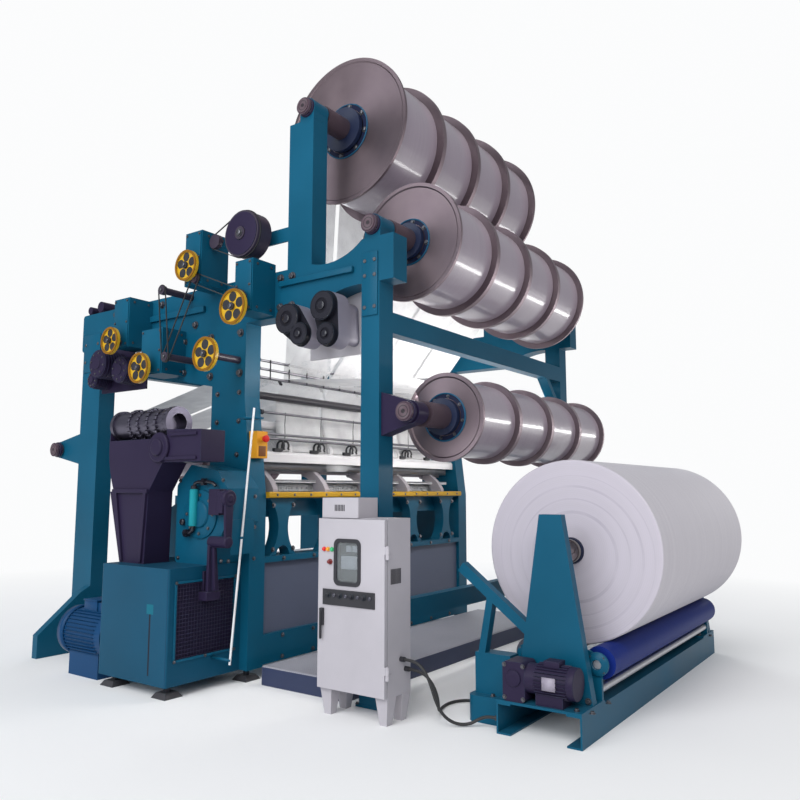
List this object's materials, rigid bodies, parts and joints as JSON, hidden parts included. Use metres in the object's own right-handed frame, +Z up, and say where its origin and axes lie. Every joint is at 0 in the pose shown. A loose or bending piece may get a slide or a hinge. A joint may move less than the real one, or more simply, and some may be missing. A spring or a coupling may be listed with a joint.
{
  "type": "raschel warp knitting machine with creel, control cabinet and cloth batcher",
  "caption": "Raschel warp knitting machine with sectional warp beams on an overhead creel, belt let-off drives, control cabinet and surface-driven cloth roll",
  "frame": {"origin": "centre of the whole set's plan, on the floor", "axes": "+X along the working width away from the drive end, +Y from the batcher to the rear beam, +Z up"},
  "size_m": [3.327, 4.9609, 4.146],
  "materials": {
    "teal_paint": "semi-gloss dark teal machine enamel",
    "plum_casting": "purple-black enamelled casting",
    "beam_aluminium": "satin turned aluminium flanges, brown steel shaft",
    "warp_yarn": "smooth wound filament yarn, pale lilac white",
    "steel_rod": "ground bright steel",
    "silver_casting": "cast aluminium, lightly polished",
    "yellow_paint": "mustard yellow enamel",
    "cabinet_paint": "pale grey powder coat",
    "dark_trim": "black panel plastic",
    "window_glass": "clear pane",
    "motor_blue": "blue motor enamel with ribs",
    "roll_cloth": "tightly wound white knitted cloth",
    "roller_blue": "deep blue rubber sleeve",
    "roller_grey": "dark grey rubber sleeve",
    "belt_rubber": "black toothed belt",
    "cable_rubber": "black cable sheath",
    "grey_panel": "grey painted sheet",
    "pad_rubber": "black levelling pads"
  },
  "bodies": {
    "machine": {"drive_end_frame": "teal_paint", "far_end_frame": "teal_paint", "levelling_feet": "pad_rubber", "bed_front_panel": "grey_panel", "bed_beam": "teal_paint", "stop_rail": "yellow_paint", "support_uprights": "teal_paint", "needle_bed": "silver_casting", "presser_arms": "silver_casting", "guide_bar_unit": "steel_rod", "needle_cover": "silver_casting", "yarn_rods": "steel_rod", "take_down_rollers": "steel_rod", "drive_end_rear_post": "teal_paint", "far_end_rear_post": "teal_paint", "drive_end_front_post": "teal_paint", "far_end_front_post": "teal_paint", "drive_end_creel_head": "teal_paint", "far_end_creel_head": "teal_paint", "creel_front_rail": "teal_paint", "creel_rear_rail": "teal_paint", "warp_sheets": "warp_yarn", "drive_base": "teal_paint", "gear_case": "teal_paint", "pattern_stand": "plum_casting", "pattern_drum": "steel_rod", "main_motor": "motor_blue", "let_off_boxes": "teal_paint", "let_off_pulleys": "steel_rod", "drive_belts": "belt_rubber", "crossbeam_motors": "plum_casting", "let_off_motors": "grey_panel", "stop_box": "yellow_paint", "footboard": "grey_panel", "guide_frame": "teal_paint", "batcher_base": "teal_paint", "batcher_near_stand": "teal_paint", "batcher_far_stand": "teal_paint", "batcher_drive": "plum_casting", "cabinet_body": "cabinet_paint", "cabinet_top_unit": "cabinet_paint", "cable_glands": "dark_trim", "cabinet_cable_a": "cable_rubber", "cabinet_cable_b": "cable_rubber"},
    "top_warp_beam": {"top_beam": "beam_aluminium", "top_beam_yarn": "warp_yarn"},
    "middle_warp_beam": {"middle_beam": "beam_aluminium", "middle_beam_yarn": "warp_yarn"},
    "lower_warp_beam": {"lower_beam": "beam_aluminium", "lower_beam_yarn": "warp_yarn"},
    "rear_warp_beam": {"rear_beam": "beam_aluminium", "rear_beam_yarn": "warp_yarn"},
    "cloth_roll": {"fabric_roll": "roll_cloth"},
    "front_drive_roller": {"front_roller": "roller_blue"},
    "back_drive_roller": {"back_roller": "roller_grey"},
    "door": {"cabinet_door": "cabinet_paint", "cabinet_door_trim": "dark_trim", "cabinet_window_glass": "window_glass"}
  },
  "joints": [
    {"name": "top_beam_turn", "type": "hinge", "parent": "machine", "child": "top_warp_beam", "pos_m": [0.2575, -0.4665, 3.638], "axis": [1, 0, 0], "continuous": true},
    {"name": "middle_beam_turn", "type": "hinge", "parent": "machine", "child": "middle_warp_beam", "pos_m": [0.2575, -0.9995, 2.747], "axis": [1, 0, 0], "continuous": true},
    {"name": "lower_beam_turn", "type": "hinge", "parent": "machine", "child": "lower_warp_beam", "pos_m": [0.2575, -1.2505, 1.621], "axis": [1, 0, 0], "continuous": true},
    {"name": "rear_beam_turn", "type": "hinge", "parent": "machine", "child": "rear_warp_beam", "pos_m": [0.2575, 2.2135, 1.516], "axis": [1, 0, 0], "continuous": true},
    {"name": "cloth_roll_turn", "type": "hinge", "parent": "machine", "child": "cloth_roll", "pos_m": [0.2575, -1.9955, 0.868], "axis": [1, 0, 0], "continuous": true},
    {"name": "front_roller_turn", "type": "hinge", "parent": "machine", "child": "front_drive_roller", "pos_m": [0.2575, -2.1855, 0.33559], "axis": [1, 0, 0], "continuous": true},
    {"name": "back_roller_turn", "type": "hinge", "parent": "machine", "child": "back_drive_roller", "pos_m": [0.2575, -1.8055, 0.33559], "axis": [1, 0, 0], "continuous": true},
    {"name": "cabinet_door_swing", "type": "hinge", "parent": "machine", "child": "door", "pos_m": [-1.3355, -1.2855, 0.6], "axis": [0, 0, 1], "range_deg": [0, 110]}
  ],
  "couplings": [
    {"joint": "front_roller_turn", "follows": "cloth_roll_turn", "ratio": -6.0625},
    {"joint": "back_roller_turn", "follows": "cloth_roll_turn", "ratio": -6.0625}
  ]
}
